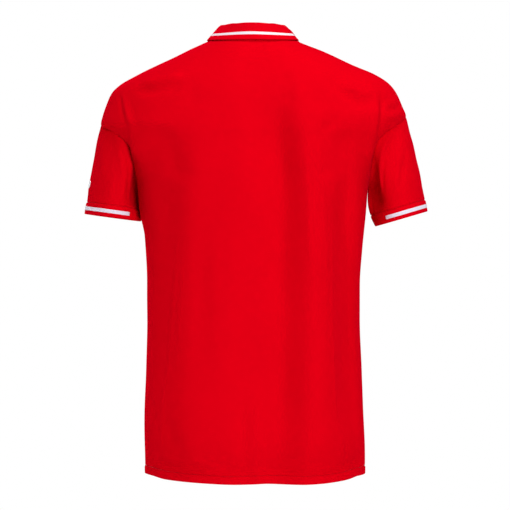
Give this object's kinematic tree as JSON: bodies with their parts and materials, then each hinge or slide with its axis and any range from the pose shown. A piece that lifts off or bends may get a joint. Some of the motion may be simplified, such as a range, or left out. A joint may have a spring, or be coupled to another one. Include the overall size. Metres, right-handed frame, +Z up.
{
  "type": "football jersey",
  "caption": "Short-sleeved knitted football jersey with a striped turn-down collar and white-taped sleeve hems, hollow and standing in its worn form.",
  "frame": {"origin": "the middle of the neck, level with the highest part of the shoulder seams, where the jersey hangs on its wearer", "axes": "+X to the wearer's left, +Y to the back, +Z up along the wearer's body"},
  "size_m": [0.5646, 0.2535, 0.7448],
  "materials": {
    "knit": "smooth polyester interlock knit with a soft satin sheen",
    "collar_knit": "ribbed flat knit, matt, with one white stripe",
    "white_trim": "white knitted tape"
  },
  "bodies": {
    "root": {"back": "knit", "front": "knit", "sleeve_left": "knit", "sleeve_right": "knit", "collar": "collar_knit", "tape_left": "white_trim", "tape_right": "white_trim", "sleeve_badge": "white_trim"}
  },
  "joints": []
}
